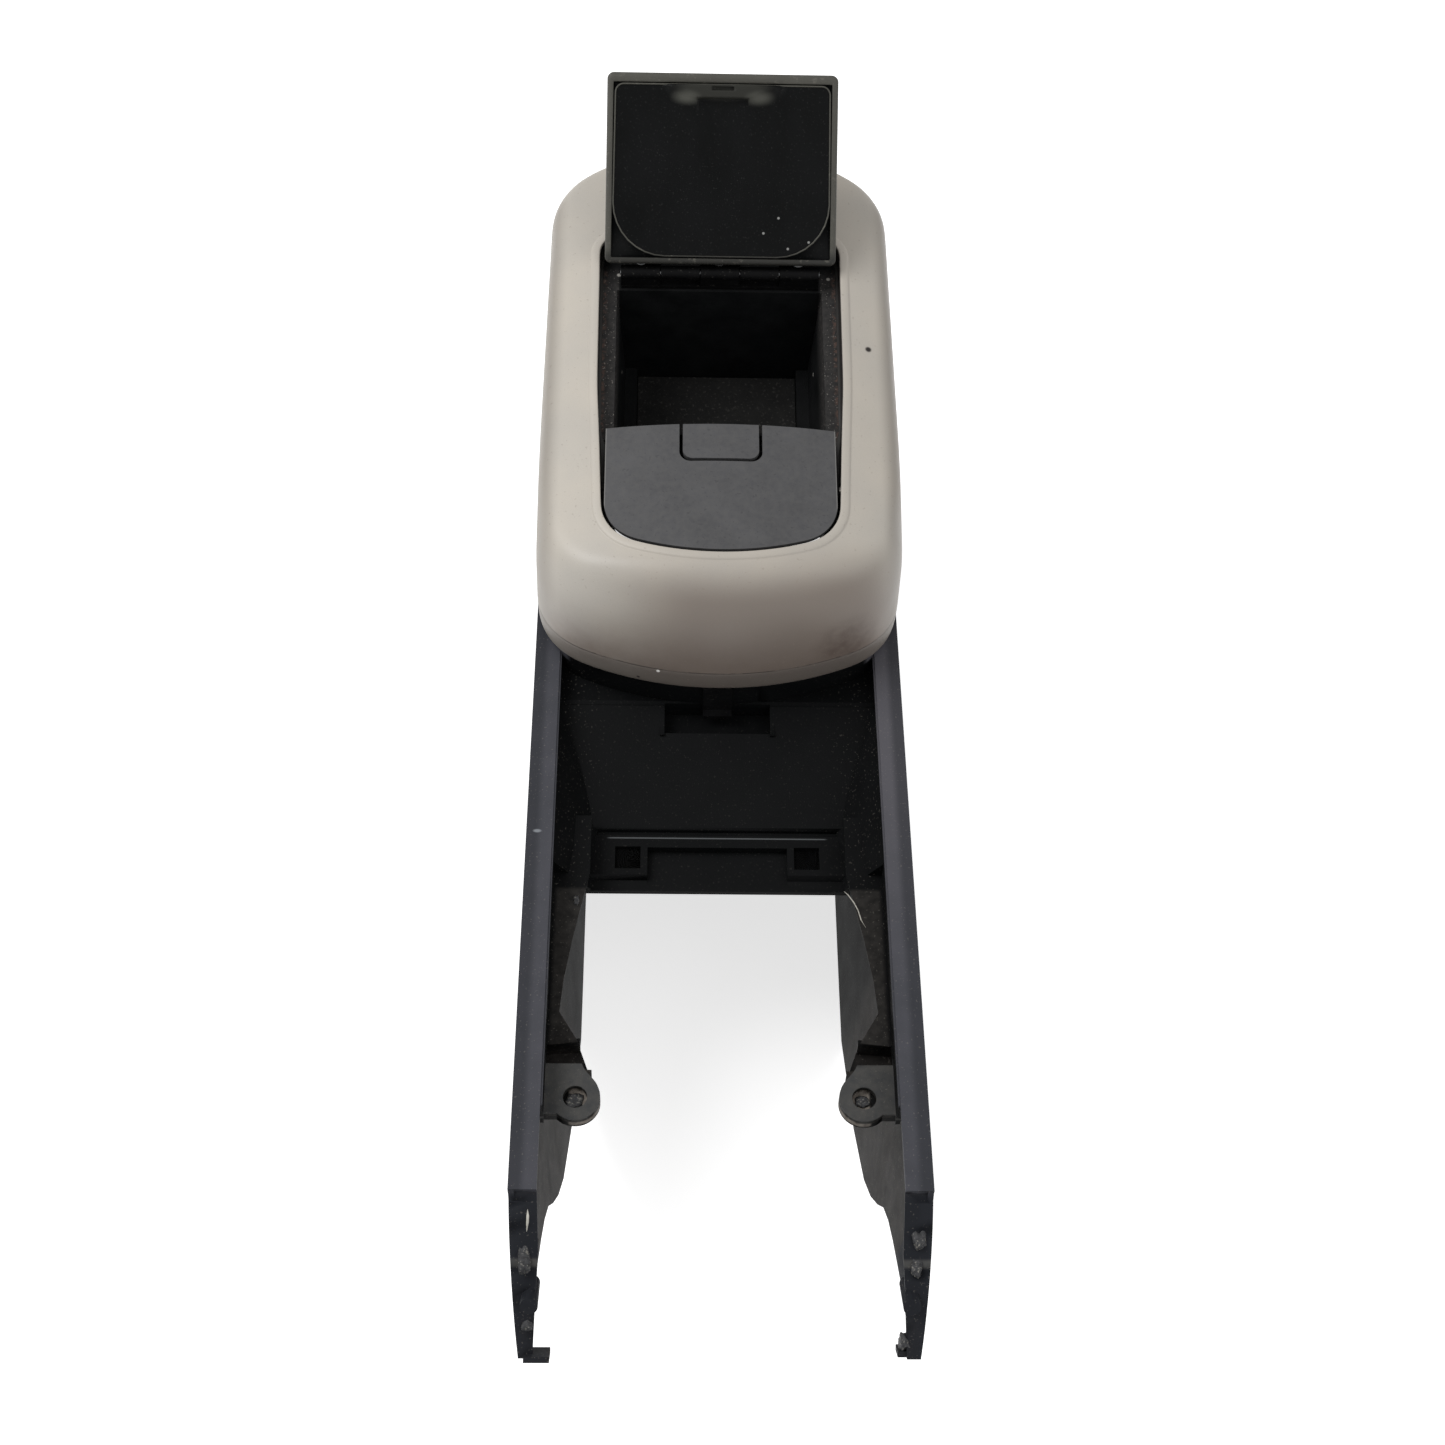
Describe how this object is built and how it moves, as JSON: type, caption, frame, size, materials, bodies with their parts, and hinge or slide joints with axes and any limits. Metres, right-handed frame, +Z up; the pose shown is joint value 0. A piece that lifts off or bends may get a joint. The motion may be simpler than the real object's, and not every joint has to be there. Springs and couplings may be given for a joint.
{
  "type": "car center console",
  "caption": "Rear half of a car floor console with open front arms, painted surround, push-button latch and a hinged storage lid shown open.",
  "frame": {"origin": "middle of the footprint, on the floor that the side walls stand on", "axes": "+X to the right seen from the open front end, +Y to the back, +Z up"},
  "size_m": [0.215, 0.7246, 0.3949],
  "materials": {
    "black_plastic": "moulded, dusty inside",
    "silver_paint": "satin silver-beige paint",
    "dark_grey": "fine grain",
    "grey_shell": "fine grain",
    "bin_black": "fine grain, dusty",
    "lid_black": "smooth",
    "mat": "ribless",
    "white_plastic": "natural",
    "steel": "plated"
  },
  "bodies": {
    "console": {"base_body": "black_plastic", "bezel": "silver_paint", "bezel_retainer": "black_plastic", "bezel_screws": "steel", "front_panel": "dark_grey", "panel_screws": "steel", "latch_housing": "bin_black", "housing_screws": "steel", "storage_bin": "bin_black", "bin_mat": "mat", "bin_screws": "steel", "hinge_base": "bin_black", "hinge_pin": "steel", "base_screws": "steel", "button_springs": "steel"},
    "lid": {"lid_shell": "grey_shell", "lid_panel": "lid_black", "hinge_leaf": "bin_black", "leaf_screws": "steel"},
    "button": {"latch_button": "dark_grey"},
    "bolt": {"latch_bolt": "white_plastic"}
  },
  "joints": [
    {"name": "lid_hinge", "type": "hinge", "parent": "console", "child": "lid", "pos_m": [0, 0.26055, 0.29807], "axis": [1, 0, 0], "range_deg": [0, 136.5]},
    {"name": "button_press", "type": "slide", "parent": "console", "child": "button", "axis": [0, 0.1305, -0.9914], "range_m": [0, 0.0032], "stiffness_N_per_m": 350, "springref_m": -0.002, "deforming": ["button_springs"]},
    {"name": "bolt_slide", "type": "slide", "parent": "console", "child": "bolt", "axis": [0, -0.9914, -0.1305], "range_m": [0, 0.0032]}
  ],
  "couplings": [
    {"joint": "bolt_slide", "follows": "button_press", "ratio": 1}
  ]
}
